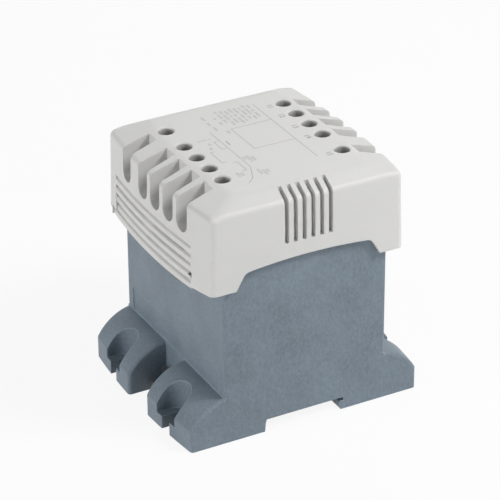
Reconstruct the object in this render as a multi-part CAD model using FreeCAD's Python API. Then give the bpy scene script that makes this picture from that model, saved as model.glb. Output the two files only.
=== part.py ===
import FreeCAD, Part
import math
import os

os.makedirs("parts", exist_ok=True)

V = FreeCAD.Vector

# Rail-mounted control transformer. Millimetres. X runs from the first terminal
# side to the second, -Y is the vented front, +Z is up, and the origin is under
# the middle of the base, on the plane that the feet stand on.

# Rail recess under the base, for a 35 mm top-hat rail lying along Y
rail_width = 35.0
rail_lip = 1.0
rail_play = 0.5
recess_height = 5.54
hook_reach = 1.8
hook_thickness = 4.0
hook_lead = 0.65
recess_lead = 0.75

# Housing
body_half_x = 37.15
body_half_y = 43.6
body_edge_r = 1.3
body_wall = 2.5
body_top = 84.5
floor_top = 9.0
mark_strip_depth = 0.4
mark_strip_height = 10.4
mark_strip_margin = 5.0

# Feet, whose ends and tops follow one large arc in plan
foot_reach = 17.85
foot_mid_half_x = body_half_x + foot_reach
foot_bow = 2.72
foot_shoulder_inset = 1.25
foot_shoulder_r = 1.14 * foot_reach + foot_shoulder_inset
foot_top = 21.1
foot_gap = 16.3
foot_edge_r = 1.2
foot_corner_r = 1.4
slot_y = body_half_y - 19.4
slot_width = 6.0
slot_depth = 7.4
flange_thickness = 5.8
head_recess_r = 7.1
head_recess_depth = 5.0

# Cover
cover_wall = 1.9
cover_reach = 9.45
cover_mid_half_x = body_half_x + cover_reach
cover_bow = 3.3
cover_half_y = body_half_y + 2.55
cover_corner_r = 2.8
cover_top = body_top + 24.0
cover_draft = 0.78
side_crease_x = cover_mid_half_x - 15.6
side_slope_deg = 17.8
front_crease_y = cover_half_y - 8.65
front_slope_deg = 29.5
rim_r = 2.6
rim_rise = 1.4
crease_r = 11.0
hip_r = 10.0
cover_inner_r = 1.3
ear_bottom = body_top - 14.3
ear_side_bottom = body_top - 16.0
ear_inner_x = body_half_x - 4.55
arch_corner_x = body_half_x - 8.75
arch_corner_z = body_top - 7.2
arch_top = body_top - 5.5
arch_corner_r = 3.5
skirt_bottom = body_top - 18.0
skirt_end_bottom = body_top - 17.4
skirt_near_y = 15.15 - cover_half_y
skirt_far_y = cover_half_y - 4.15

# Cover louvres, under the wire entries
louvre_count = 5
louvre_pitch = 4.05
louvre_top = cover_top - 22.0
louvre_depth = 1.25
louvre_step = 0.17
louvre_gap = 1.35
louvre_edge_r = 0.4
louvre_far_y = cover_half_y - 9.15
louvre_slot_inner = 4.4
louvre_slot_outer = 28.6
louvre_slot_middle_y = 3.8
snap_slot_half_y = 2.4
snap_hole_y = skirt_near_y + 1.0
snap_hole_half = 1.7

# Cover vents, in the front and back faces
vent_count = 6
vent_pitch = 3.95
vent_width = 1.75
vent_bottom = cover_top - 23.1
vent_inner_y = cover_half_y - 7.35
hood_gap = 1.0
hood_wall = 1.2
hood_bottom = body_top + 0.8
vent_end_r = 0.5

# Terminals: the earth terminal, a gap, then the rest at one pitch
terminal_first_y = 24.24
terminal_gap = 15.95
terminal_pitch = 10.84
terminal_count = 5
terminal_x = body_half_x - 10.1
driver_hole_r = 3.25
driver_rim = 0.45
driver_tube_wall = 1.15
driver_tube_bottom = cover_top - 6.7
entry_end_x = body_half_x - 4.15
entry_outer_half = 4.15
entry_inner_half = 3.5
entry_bottom = cover_top - 18.5
entry_wall = 1.6
entry_edge_r = 0.5

# Clearances between pieces that go together
fit_clearance = 0.3
slide_clearance = 0.15
shaft_clearance = 0.05

# Laminated core and coil
core_leg = 26.0
core_end_gap = 2.1
core_headroom = 10.5
core_window = body_half_y - body_wall - core_end_gap - core_leg
core_window_height = body_top - floor_top - core_leg - core_headroom
core_hole_r = 2.2
former_wall = 1.5
former_flange = 1.5
wrap_thickness = 0.5
coil_slack = 1.1
coil_side_gap = 2.65
winding_build = core_window - fit_clearance - former_wall - wrap_thickness - coil_slack
former_reach = core_window + 0.2
core_stack = 2 * (body_half_x - body_wall - coil_side_gap
                  - (fit_clearance + former_wall + winding_build
                     + 2 * shaft_clearance + wrap_thickness))
coil_corner_r = 4.0

# Core fixings
bolt_r = 2.0
bolt_head_flats = 7.0
bolt_head_height = 2.8
bolt_length = core_stack + 10.0
nut_height = 3.2
washer_r = 4.0
washer_thickness = 0.8
bracket_thickness = 1.5
bracket_height = 12.5
bracket_reach = 12.0
bracket_half_y = core_leg + core_window - 7.0
bracket_screw_y = 18.0
bracket_screw_offset = 7.5
screw_r = 1.75
screw_head_r = 3.0
screw_head_height = 1.8
screw_slot_width = 0.8
screw_slot_depth = 1.0
bracket_screw_depth = 6.0

# Terminal carriers
post_x = body_half_x - 6.65
post_y = body_half_y - 5.4
post_r = 3.4
carrier_plate = 2.0
carrier_half_y = body_half_y - 2.6
carrier_inner_x = terminal_x - 5.05
carrier_block_end = terminal_first_y + 6.26
carrier_block_top = cover_top - 9.9
carrier_face_gap = 0.2
carrier_screw_depth = 9.0
chamber_half = 3.3
cage_half_x = 3.2
cage_half_y = 3.15
cage_bottom = cover_top - 19.3
cage_top = cover_top - 10.5
cage_hole_half = 2.3
cage_hole_bottom = cover_top - 17.9
cage_hole_height = 4.6
clamp_screw_r = 1.7
clamp_screw_tip = cover_top - 14.5
clamp_head_bottom = cover_top - 9.6
clamp_head_height = 2.2
clamp_head_r = 2.75
tag_thickness = 0.8
tag_half_y = 1.9

# Leads
lead_r = 1.1
lead_foot_x = core_stack / 2 + 8.5
lead_top_x = terminal_x - 6.25
tag_end_x = lead_top_x - 1.2
ring_thickness = 1.0
ring_r = 3.9
ring_barrel_length = 6.0
ring_barrel_r = 1.8

# Rail latch between the first pair of feet, and its spring
latch_half_y = 6.0
latch_bottom = 1.75
latch_top = 5.15
latch_nose = 1.9
latch_tail_x = body_half_x + 8.85
latch_lip = 2.4
latch_lip_top = 6.2
latch_lug_x = body_half_x + 3.85
latch_lug = 2.6
latch_lug_top = 11.2
latch_tail_half_y = 5.5
driver_slot_half_y = 2.5
driver_slot_bottom = 6.6
driver_slot_top = 9.2
latch_window_x = body_half_x - 2.85
latch_window_end = body_half_x - 13.15
latch_window_half_y = 2.2
stop_length = 1.8
stop_half_y = 1.8
latch_rail_ledge = 2.6
spring_wire_r = 0.22
spring_mean_r = 1.2
spring_turns = 5
spring_turn_steps = 14
spring_wire_sides = 8

# Cover seats and snaps
seat_flange_top = body_top - 12.1
seat_flange_thickness = 1.8
seat_rib_y = cover_half_y - 9.15
seat_rib_thickness = 1.2
seat_rib_depth = 3.0
snap_x = 20.0
snap_half_x = 3.5
snap_bottom = body_top - 4.1
snap_height = 2.0
snap_reach = 1.0

# How far cutting shapes run past what they cut, and how far a joined one sinks in
over = 5.0
weld = 0.4


def box(x0, x1, y0, y1, z0, z1):
    return Part.makeBox(x1 - x0, y1 - y0, z1 - z0, V(x0, y0, z0))


def cylinder_z(x, y, z0, z1, radius):
    return Part.makeCylinder(radius, z1 - z0, V(x, y, z0))


def cylinder_x(x0, x1, y, z, radius):
    return Part.makeCylinder(radius, x1 - x0, V(x0, y, z), V(1, 0, 0))


def on_xz(u, w):
    return V(u, 0, w)


def on_yz(u, w):
    return V(0, u, w)


def on_xy(u, w):
    return V(u, w, 0)


def rounded_face(corners, place):
    """A flat face through (u, w, radius) corners, each rounded by its radius."""
    count = len(corners)
    edges = []
    starts = []
    ends = []
    for i in range(count):
        u, w, radius = corners[i]
        here = place(u, w)
        before = place(*corners[i - 1][:2])
        after = place(*corners[(i + 1) % count][:2])
        to_before = (before - here).normalize()
        to_after = (after - here).normalize()
        if radius <= 0:
            starts.append(here)
            ends.append(here)
            continue
        angle = to_before.getAngle(to_after)
        cut = radius / math.tan(angle / 2)
        start = here + to_before * cut
        end = here + to_after * cut
        middle_way = (to_before + to_after).normalize()
        centre = here + middle_way * (radius / math.sin(angle / 2))
        edges.append(Part.Arc(start, centre - middle_way * radius, end).toShape())
        starts.append(start)
        ends.append(end)
    for i in range(count):
        start = ends[i]
        end = starts[(i + 1) % count]
        if start.distanceToPoint(end) > 1e-6:
            edges.append(Part.LineSegment(start, end).toShape())
    return Part.Face(Part.Wire(Part.__sortEdges__(edges)))


def along_y(corners, y0, y1):
    face = rounded_face(corners, on_xz)
    face.translate(V(0, y0, 0))
    return face.extrude(V(0, y1 - y0, 0))


def along_x(corners, x0, x1):
    face = rounded_face(corners, on_yz)
    face.translate(V(x0, 0, 0))
    return face.extrude(V(x1 - x0, 0, 0))


def upward(corners, z0, z1):
    face = rounded_face(corners, on_xy)
    face.translate(V(0, 0, z0))
    return face.extrude(V(0, 0, z1 - z0))


def arc_radius(half_chord, bow):
    return (half_chord ** 2 + bow ** 2) / (2 * bow)


def turned_about(face, centre_x, y0, y1, reach_r):
    """Sweep an XZ face about the upright axis at centre_x, from y0 to y1 at reach_r."""
    start = math.degrees(math.atan2(-y1, reach_r))
    end = math.degrees(math.atan2(-y0, reach_r))
    face.rotate(V(centre_x, 0, 0), V(0, 0, 1), start)
    return face.revolve(V(centre_x, 0, 0), V(0, 0, 1), end - start)


def swept_side(corners, mid_half_x, radius, y0, y1):
    """Turn an XZ outline, drawn at y = 0 on the -X side, along that side's bow."""
    centre_x = radius - mid_half_x
    nearest = max(u for u, w, r in corners)
    return turned_about(rounded_face(corners, on_xz), centre_x, y0, y1, centre_x - nearest)


def half_turn(shape):
    turned = shape.copy()
    turned.rotate(V(0, 0, 0), V(0, 0, 1), 180)
    return turned


def mirrored_x(shape):
    return shape.mirror(V(0, 0, 0), V(1, 0, 0))


def mirrored_y(shape):
    return shape.mirror(V(0, 0, 0), V(0, 1, 0))


def four_ways(shape):
    right = mirrored_x(shape)
    return [shape, right, mirrored_y(shape), mirrored_y(right)]


def hexagon_x(x0, x1, y, z, flats):
    """A six-sided prism along X."""
    reach = flats / math.sqrt(3)
    turns = [math.radians(30 + 60 * k) for k in range(6)]
    corners = [(y + reach * math.cos(t), z + reach * math.sin(t), 0) for t in turns]
    return along_x(corners, x0, x1)


def tube(points, radius):
    """A round lead through points: straight runs joined by tangent arcs."""
    edges = []
    start = points[0]
    for before, here, after in zip(points, points[1:], points[2:]):
        to_before = (before - here).normalize()
        to_after = (after - here).normalize()
        cut = 0.45 * min(before.distanceToPoint(here), here.distanceToPoint(after))
        angle = to_before.getAngle(to_after)
        bend = cut * math.tan(angle / 2)
        first = here + to_before * cut
        last = here + to_after * cut
        middle_way = (to_before + to_after).normalize()
        centre = here + middle_way * (bend / math.sin(angle / 2))
        edges.append(Part.LineSegment(start, first).toShape())
        edges.append(Part.Arc(first, centre - middle_way * bend, last).toShape())
        start = last
    edges.append(Part.LineSegment(start, points[-1]).toShape())
    heading = (points[1] - points[0]).normalize()
    section = Part.Wire(Part.Circle(points[0], heading, radius).toShape())
    return Part.Wire(edges).makePipeShell([section], True, True)


def save(name, shapes):
    """Write one node, as one solid or as a group of separate solids."""
    if len(shapes) == 1:
        shape = shapes[0]
    else:
        shape = Part.makeCompound(shapes)
    shape.exportStep("parts/" + name + ".step")


def only_solid(shape):
    return shape.Solids[0]


terminal_ys = [terminal_first_y]
for number in range(terminal_count - 1):
    terminal_ys.append(terminal_first_y - terminal_gap - number * terminal_pitch)


# Housing

foot_radius = arc_radius(body_half_y, foot_bow)
recess_left = -rail_width / 2 - rail_play
recess_right = rail_width / 2 + rail_play / 2
channel_half_y = latch_half_y + slide_clearance
channel_bottom = latch_bottom - slide_clearance
channel_top = latch_top + slide_clearance


def foot_blank():
    """The bowed bar of one side's feet: upright end, then a rounded shoulder."""
    end = -foot_mid_half_x
    wall = -body_half_x
    inner = wall + body_wall
    centre = V(wall + foot_shoulder_inset, 0,
               foot_top - math.sqrt(foot_shoulder_r ** 2 - foot_shoulder_inset ** 2))
    round_x = end + foot_edge_r
    rise = math.sqrt((foot_shoulder_r - foot_edge_r) ** 2 - (round_x - centre.x) ** 2)
    round_centre = V(round_x, 0, centre.z + rise)
    outward = (round_centre - centre).normalize()
    join = centre + outward * foot_shoulder_r
    top_start = V(wall, 0, foot_top)
    crown = centre + ((top_start + join) * 0.5 - centre).normalize() * foot_shoulder_r
    end_top = V(end, 0, round_centre.z)
    turn = round_centre + (outward + V(-1, 0, 0)).normalize() * foot_edge_r
    edges = [
        Part.Arc(top_start, crown, join).toShape(),
        Part.Arc(join, turn, end_top).toShape(),
        Part.LineSegment(end_top, V(end, 0, 0)).toShape(),
        Part.LineSegment(V(end, 0, 0), V(inner, 0, 0)).toShape(),
        Part.LineSegment(V(inner, 0, 0), V(inner, 0, foot_top)).toShape(),
        Part.LineSegment(V(inner, 0, foot_top), top_start).toShape(),
    ]
    centre_x = foot_radius - foot_mid_half_x
    reach = body_half_y + over
    return turned_about(Part.Face(Part.Wire(edges)), centre_x, -reach, reach, centre_x - inner)


def foot_cut():
    """The screw slot of one foot, with the wider recess for the screw head."""
    end = -foot_mid_half_x
    slot_end = end + slot_depth
    half = slot_width / 2
    recess_x = end + head_recess_depth
    cut = box(end - over, slot_end, slot_y - half, slot_y + half, -over, foot_top + over)
    cut = cut.fuse(cylinder_z(slot_end, slot_y, -over, foot_top + over, half))
    recess = box(end - over, recess_x, slot_y - head_recess_r, slot_y + head_recess_r,
                 flange_thickness, foot_top + over)
    recess = recess.fuse(
        cylinder_z(recess_x, slot_y, flange_thickness, foot_top + over, head_recess_r))
    return cut.fuse(recess)


def make_feet():
    """The two feet of the -X side, apart by the latch's gap."""
    outer_x = -foot_mid_half_x - over
    inner_x = -body_half_x + body_wall
    gap = box(outer_x - 1.0, inner_x + 1.0, -foot_gap / 2, foot_gap / 2, -over, foot_top + over)
    pair = foot_blank().common(box(outer_x, inner_x, -body_half_y, body_half_y,
                                   -over, foot_top + over))
    pair = pair.cut(gap)
    ends = [e for e in pair.Edges
            if e.BoundBox.XMax < -foot_mid_half_x + foot_bow + 0.1
            and e.BoundBox.ZLength > over and e.BoundBox.XLength < 0.01]
    pair = pair.makeFillet(foot_corner_r, ends)
    pair = pair.cut(foot_cut())
    return pair.cut(mirrored_y(foot_cut()))


def rail_recess():
    tip = recess_right - hook_reach
    corners = [
        (recess_left - recess_lead, -over, 0),
        (recess_left - recess_lead, 0, 0),
        (recess_left - recess_lead * 0.6, hook_thickness - 0.4, 0),
        (recess_left, recess_height, 0.3),
        (recess_right, recess_height, 0.3),
        (recess_right, hook_thickness, 0),
        (tip, hook_thickness, 0.6),
        (tip, hook_thickness * 0.4, 0.6),
        (tip + hook_lead, 0, 0),
        (tip + hook_lead, -over, 0),
    ]
    return along_y(corners, -body_half_y - over, body_half_y + over)


def latch_channel():
    """The latch's guide: a flat slot, open below between two ledges."""
    x0 = -body_half_x - over
    x1 = recess_left + over
    channel = box(x0, x1, -channel_half_y, channel_half_y, channel_bottom, channel_top)
    mouth_half_y = channel_half_y - latch_rail_ledge
    return channel.fuse(box(x0, x1, -mouth_half_y, mouth_half_y, -over, channel_bottom))


def spring_stop():
    x0 = -latch_window_x + shaft_clearance
    return box(x0, x0 + stop_length, -stop_half_y, stop_half_y,
               latch_bottom, channel_top + 1.0)


def seat_flange():
    """The ledge on one side that carries the cover and closes it from below."""
    radius = arc_radius(cover_half_y, cover_bow)
    inset = cover_wall + louvre_step * louvre_count + fit_clearance
    outer = -cover_mid_half_x + inset
    corners = [
        (outer, seat_flange_top - seat_flange_thickness, 0),
        (-body_half_x + body_wall, seat_flange_top - seat_flange_thickness, 0),
        (-body_half_x + body_wall, seat_flange_top, 0),
        (outer, seat_flange_top, 0),
    ]
    ledge = swept_side(corners, cover_mid_half_x - inset, radius - inset,
                       -body_half_y, body_half_y)
    reach = body_half_y - body_edge_r
    return ledge.common(box(-cover_mid_half_x, 0, -reach, reach, 0, cover_top))


def make_housing():
    edge = body_edge_r
    plan = [
        (-body_half_x, -body_half_y, edge),
        (body_half_x, -body_half_y, edge),
        (body_half_x, body_half_y, edge),
        (-body_half_x, body_half_y, edge),
    ]
    inner_x = body_half_x - body_wall
    inner_y = body_half_y - body_wall
    body = upward(plan, foot_top, body_top)
    base_plan = [(x, y, 0) for x, y, r in plan]
    base = upward(base_plan, 0, foot_top)
    body = body.fuse(base)
    body = body.fuse(make_feet())
    body = body.fuse(mirrored_x(make_feet()))
    body = body.fuse(seat_flange())
    body = body.fuse(mirrored_x(seat_flange()))
    body = body.cut(box(-inner_x, inner_x, -inner_y, inner_y, floor_top, body_top + over))
    post = cylinder_z(-post_x, -post_y, floor_top - 1.0, body_top, post_r)
    post = post.common(box(-body_half_x + 1.0, 0, -body_half_y + 1.0, 0, 0, body_top))
    body = body.fuse(four_ways(post))
    body = body.removeSplitter()
    body = body.cut(rail_recess())
    body = body.cut(latch_channel())
    body = body.fuse(spring_stop())
    strip_half_y = body_half_y - mark_strip_margin
    body = body.cut(box(-body_half_x - 1.0, -body_half_x + mark_strip_depth,
                        -strip_half_y, strip_half_y,
                        foot_top + 0.4, foot_top + mark_strip_height))
    for hole in four_ways(cylinder_z(-post_x, -post_y, body_top - carrier_screw_depth,
                                     body_top + over, screw_r + shaft_clearance)):
        body = body.cut(hole)
    bracket_screw_x = core_stack / 2 + bracket_screw_offset
    for hole in four_ways(cylinder_z(-bracket_screw_x, -bracket_screw_y,
                                     floor_top - bracket_screw_depth,
                                     floor_top + 1.0, screw_r + shaft_clearance)):
        body = body.cut(hole)
    pocket = box(-snap_x - snap_half_x - fit_clearance, -snap_x + snap_half_x + fit_clearance,
                 -body_half_y - 1.0, -body_half_y + snap_reach,
                 snap_bottom - fit_clearance, snap_bottom + snap_height + fit_clearance)
    for cut in four_ways(pocket):
        body = body.cut(cut)
    return only_solid(body.removeSplitter())


# Cover

cover_radius = arc_radius(cover_half_y, cover_bow)
side_slope = math.radians(side_slope_deg)
front_slope = math.radians(front_slope_deg)


def cover_side_outline(inset, bottom):
    """The cover's end view as seen along Y, from one side's wall to past the other."""
    top = cover_top - inset
    crease = side_crease_x - inset * math.tan(side_slope / 2)
    wall_x = cover_mid_half_x - inset
    shoulder_x = wall_x - cover_draft
    shoulder_z = top - (shoulder_x - crease) * math.tan(side_slope)
    far_x = cover_mid_half_x + over
    return [(far_x, bottom, 0), (-wall_x, bottom, 0), (-shoulder_x, shoulder_z, 0),
            (-crease, top, 0), (far_x, top, 0)]


def cover_front_outline(inset, bottom):
    """The cover's section as seen along X: drafted faces, slopes and flat top."""
    top = cover_top - inset
    crease = front_crease_y - inset * math.tan(front_slope / 2)
    wall_y = cover_half_y - inset
    edge_y = wall_y - cover_draft
    edge_z = top - (edge_y - crease) * math.tan(front_slope)
    return [(-wall_y, bottom, 0), (wall_y, bottom, 0), (edge_y, edge_z, 0),
            (crease, top, 0), (-crease, top, 0), (-edge_y, edge_z, 0)]


def rounded(form, radius, chosen):
    """Round the edges whose bounding boxes the test picks."""
    return form.makeFillet(radius, [e for e in form.Edges if chosen(e.BoundBox)])


def cover_block(inset, bottom):
    """The cover's closed form with sharp edges, drawn in by inset for the hollow inside it."""
    half_y = cover_half_y + over
    side = swept_side(cover_side_outline(inset, bottom), cover_mid_half_x - inset,
                      cover_radius - inset, -half_y, half_y)
    form = side.common(mirrored_x(side))
    return only_solid(form.common(along_x(cover_front_outline(inset, bottom),
                                          -cover_mid_half_x - over, cover_mid_half_x + over)))


def cover_outside(bottom):
    """The cover's outer form: hips, creases, corners and rim rounded in that order."""
    middle = (bottom + cover_top) / 2
    fall = (cover_half_y - cover_draft - front_crease_y) * math.tan(front_slope)
    form = rounded(cover_block(0, bottom), hip_r,
                   lambda b: b.ZMin > middle and min(b.XLength, b.YLength) > b.ZLength > rim_rise)
    form = rounded(form, crease_r, lambda b: b.ZMin > cover_top - 0.01)
    form = rounded(form, cover_corner_r, lambda b: b.ZLength > middle - bottom)
    return rounded(form, rim_r,
                   lambda b: b.ZMin > middle and b.ZMax < cover_top - fall + rim_rise
                   and b.ZLength < rim_rise)


def cover_inside(bottom):
    """The hollow inside the cover, its upright corners rounded."""
    middle = (bottom + cover_top) / 2
    return rounded(cover_block(cover_wall, bottom), cover_inner_r,
                   lambda b: b.ZLength > middle - bottom)


def entry_channel(y, grow):
    """The wire entry at one terminal, flaring outward on a round floor; grow adds its wall."""
    near_x = -cover_mid_half_x - over
    far_x = -entry_end_x + grow
    run = cover_mid_half_x - entry_end_x
    flare = (entry_outer_half - entry_inner_half) / run
    near_half = entry_inner_half + flare * (run + over) + grow
    far_half = entry_inner_half + grow
    axis_z = entry_bottom + entry_outer_half
    floor = Part.makeCone(near_half, far_half, far_x - near_x, V(near_x, y, axis_z), V(1, 0, 0))
    sides = upward([(near_x, y - near_half, 0), (far_x, y - far_half, 0),
                    (far_x, y + far_half, 0), (near_x, y + near_half, 0)],
                   axis_z, cover_top + over)
    return floor.fuse(sides).removeSplitter()


def driver_hole(y):
    """The screwdriver hole over one terminal, with a small rim chamfer."""
    bore = cylinder_z(-terminal_x, y, driver_tube_bottom - over, cover_top + over, driver_hole_r)
    rim = Part.makeCone(driver_hole_r, driver_hole_r + driver_rim, driver_rim,
                        V(-terminal_x, y, cover_top - driver_rim))
    return bore.fuse(rim)


def wire_window(y, wall_x):
    """The way from a wire entry into its clamp, through a wall near wall_x."""
    return box(wall_x - over / 2, wall_x + over / 2,
               y - cage_hole_half, y + cage_hole_half,
               cage_hole_bottom, cage_hole_bottom + cage_hole_height)


def arch_cut():
    """What is taken from under the cover's front and back walls, between its ears."""
    foot_z = ear_bottom - over * 2
    lean = (ear_inner_x - arch_corner_x) / (arch_corner_z - ear_bottom)
    edges = [
        Part.LineSegment(V(-ear_inner_x - lean, 0, foot_z), V(-ear_inner_x, 0, ear_bottom)).toShape(),
        Part.LineSegment(V(-ear_inner_x, 0, ear_bottom), V(-arch_corner_x, 0, arch_corner_z)).toShape(),
        Part.Arc(V(-arch_corner_x, 0, arch_corner_z), V(0, 0, arch_top),
                 V(arch_corner_x, 0, arch_corner_z)).toShape(),
        Part.LineSegment(V(arch_corner_x, 0, arch_corner_z), V(ear_inner_x, 0, ear_bottom)).toShape(),
        Part.LineSegment(V(ear_inner_x, 0, ear_bottom), V(ear_inner_x + lean, 0, foot_z)).toShape(),
        Part.LineSegment(V(ear_inner_x + lean, 0, foot_z), V(-ear_inner_x - lean, 0, foot_z)).toShape(),
    ]
    face = Part.Face(Part.Wire(edges))
    face.translate(V(0, -cover_half_y - over, 0))
    arch = face.extrude(V(0, 2 * (cover_half_y + over), 0))
    corners = [e for e in arch.Edges
               if e.BoundBox.XLength < 0.01
               and abs(e.BoundBox.ZMin - arch_corner_z) < 0.01]
    return arch.makeFillet(arch_corner_r, corners)


def bottom_cut():
    """What is taken from under the cover's -X side: the skirt hangs below its ears."""
    low = skirt_bottom - over * 2
    reach = cover_half_y + over
    slope = (ear_bottom - ear_side_bottom) / (cover_half_y + skirt_near_y)
    reach_z = ear_bottom + slope * over
    far_z = ear_bottom - slope * (cover_half_y - skirt_far_y)
    middle_y = (skirt_near_y + skirt_far_y) / 2
    near_low = V(0, skirt_near_y, skirt_end_bottom)
    far_low = V(0, skirt_far_y, skirt_end_bottom)
    near_top = V(0, skirt_near_y, ear_side_bottom)
    far_top = V(0, skirt_far_y, far_z)
    edges = [
        Part.LineSegment(V(0, -reach, low), V(0, -reach, reach_z)).toShape(),
        Part.LineSegment(V(0, -reach, reach_z), near_top).toShape(),
        Part.LineSegment(near_top, near_low).toShape(),
        Part.Arc(near_low, V(0, middle_y, skirt_bottom), far_low).toShape(),
        Part.LineSegment(far_low, far_top).toShape(),
        Part.LineSegment(far_top, V(0, reach, reach_z)).toShape(),
        Part.LineSegment(V(0, reach, reach_z), V(0, reach, low)).toShape(),
        Part.LineSegment(V(0, reach, low), V(0, -reach, low)).toShape(),
    ]
    face = Part.Face(Part.Wire(edges))
    face.translate(V(-cover_mid_half_x - over, 0, 0))
    return face.extrude(V(cover_mid_half_x + over, 0, 0))


def louvre_cut(number):
    """One louvre's groove and the set-back face of the slat below it, on the -X side."""
    groove_z = louvre_top - number * louvre_pitch
    face_x = -cover_mid_half_x + louvre_step * (number + 1)
    above_x = -cover_mid_half_x + louvre_step * number
    outer = -cover_mid_half_x - 1.0
    below_z = groove_z - louvre_pitch
    if number == louvre_count - 1:
        below_z = skirt_bottom - over
    corners = [
        (outer, groove_z + louvre_gap / 2, 0),
        (above_x + louvre_depth, groove_z + louvre_gap / 2, 0),
        (above_x + louvre_depth, groove_z - louvre_gap / 2, 0),
        (face_x, groove_z - louvre_gap, louvre_edge_r),
        (face_x, below_z, 0),
        (outer, below_z, 0),
    ]
    far_y = louvre_far_y
    if number == louvre_count - 1:
        far_y = skirt_far_y
    return swept_side(corners, cover_mid_half_x, cover_radius, skirt_near_y, far_y)


def louvre_slots():
    """The lengths of groove that go right through the wall."""
    slots = []
    x0 = -cover_mid_half_x - over
    x1 = -cover_mid_half_x + cover_wall + cover_bow
    half = louvre_gap / 2
    middle = louvre_slot_middle_y
    for number in (1, 2):
        z = louvre_top - number * louvre_pitch
        slots.append(box(x0, x1, middle + louvre_slot_inner, middle + louvre_slot_outer,
                         z - half, z + half))
        slots.append(box(x0, x1, middle - louvre_slot_outer, middle - louvre_slot_inner,
                         z - half, z + half))
    z = louvre_top - 3 * louvre_pitch
    slots.append(box(x0, x1, middle - snap_slot_half_y, middle + snap_slot_half_y,
                     z - half, z + half))
    slots.append(box(x0, x1, snap_hole_y - snap_hole_half, snap_hole_y + snap_hole_half,
                     z - snap_hole_half, z + half))
    return slots


def vents():
    """Upright slots in the front face that run over its upper edge onto the slope."""
    slots = []
    reach_x = vent_pitch * vent_count
    inside_wall = along_x(cover_front_outline(cover_wall + hood_gap / 2, skirt_bottom),
                          -reach_x, reach_x)
    half = vent_width / 2
    first_x = -vent_pitch * (vent_count - 1) / 2
    for number in range(vent_count):
        x = first_x + number * vent_pitch
        corners = [
            (x - half, vent_bottom, vent_end_r),
            (x + half, vent_bottom, vent_end_r),
            (x + half, cover_top + over, 0),
            (x - half, cover_top + over, 0),
        ]
        slot = along_y(corners, -cover_half_y - over, -vent_inner_y)
        slots.append(slot.cut(inside_wall))
    return slots


def vent_hood():
    """The double wall behind the front vents: air passes it from below, a finger doesn't."""
    half_x = vent_pitch * vent_count / 2
    far_y = cover_half_y + over

    def within(inset, side_x):
        return along_x(cover_front_outline(inset, hood_bottom - over), -side_x, side_x)

    outer_x = half_x + hood_wall
    hood = within(cover_wall - weld, outer_x).cut(
        within(cover_wall + hood_gap + hood_wall, outer_x + over))
    hood = hood.common(box(-outer_x, outer_x, -far_y, hood_wall - vent_inner_y,
                           hood_bottom, cover_top))
    duct = within(cover_wall, half_x).cut(within(cover_wall + hood_gap, half_x + over))
    duct = duct.common(box(-half_x, half_x, -far_y, -vent_inner_y,
                           hood_bottom - over / 2, cover_top))
    return only_solid(hood.cut(duct))


def snap_bump():
    """A wedge on the inside of the cover's front wall that snaps into the housing."""
    inner = -cover_half_y + cover_wall
    tip = -body_half_y + snap_reach - fit_clearance
    corners = [
        (inner - weld, snap_bottom, 0),
        (tip, snap_bottom + snap_height * 0.6, 0),
        (tip, snap_bottom + snap_height, 0),
        (inner - weld, snap_bottom + snap_height, 0),
    ]
    return along_x(corners, -snap_x - snap_half_x, -snap_x + snap_half_x)


def seat_rib():
    """A rib inside the cover's side wall that stands on the housing's ledge."""
    wall = -cover_mid_half_x + cover_wall
    return box(wall - weld, wall + cover_bow + seat_rib_depth,
               seat_rib_y - seat_rib_thickness / 2, seat_rib_y + seat_rib_thickness / 2,
               seat_flange_top, entry_bottom)


def make_cover():
    bottom = skirt_bottom - 1.0
    outer = cover_outside(bottom)
    shell = outer.cut(cover_inside(bottom - over))
    walls = []
    for y in terminal_ys:
        walls.append(entry_channel(y, entry_wall))
        walls.append(cylinder_z(-terminal_x, y, driver_tube_bottom, cover_top,
                                driver_hole_r + driver_tube_wall))
    inside = walls[0].fuse(walls[1:])
    inside = inside.common(outer)
    shell = shell.fuse([inside, half_turn(inside)])
    ribs = [rib.common(outer) for rib in four_ways(seat_rib())]
    hood = vent_hood()
    shell = shell.fuse(ribs + four_ways(snap_bump()) + [hood, mirrored_y(hood)])
    cuts = []
    for y in terminal_ys:
        cuts.append(entry_channel(y, 0))
        cuts.append(driver_hole(y))
        cuts.append(wire_window(y, -entry_end_x))
    side_cuts = cuts[0].fuse(cuts[1:])
    shell = shell.cut(side_cuts)
    shell = shell.cut(half_turn(side_cuts))
    for number in range(louvre_count):
        groove = louvre_cut(number)
        shell = shell.cut(groove)
        shell = shell.cut(mirrored_x(groove))
    for slot in louvre_slots():
        shell = shell.cut(slot)
        shell = shell.cut(mirrored_x(slot))
    for slot in vents():
        shell = shell.cut(slot)
        shell = shell.cut(mirrored_y(slot))
    shell = shell.cut(arch_cut())
    shell = shell.cut(bottom_cut())
    shell = shell.cut(mirrored_x(bottom_cut()))
    return only_solid(shell)


# Core, coil and what holds them

core_bottom = floor_top
window_bottom = core_bottom + core_leg / 2
window_top = window_bottom + core_window_height
core_top = window_top + core_leg / 2
core_half_y = core_leg + core_window
hole_y = core_half_y - core_leg / 4
low_hole_z = core_bottom + core_leg / 4
high_hole_z = core_top - core_leg / 4
core_half_x = core_stack / 2


def core_holes(z):
    return [cylinder_x(-core_half_x - over, core_half_x + over, side * hole_y, z, core_hole_r)
            for side in (-1, 1)]


def make_core_e():
    """The stack of E laminations: yoke below, centre leg and two outer legs."""
    stack = box(-core_half_x, core_half_x, -core_half_y, core_half_y, core_bottom, window_top)
    for side in (-1, 1):
        y0 = side * core_leg / 2
        y1 = side * (core_leg / 2 + core_window)
        stack = stack.cut(box(-core_half_x - over, core_half_x + over, min(y0, y1), max(y0, y1),
                              window_bottom, window_top + over))
    for hole in core_holes(low_hole_z):
        stack = stack.cut(hole)
    return only_solid(stack)


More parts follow.
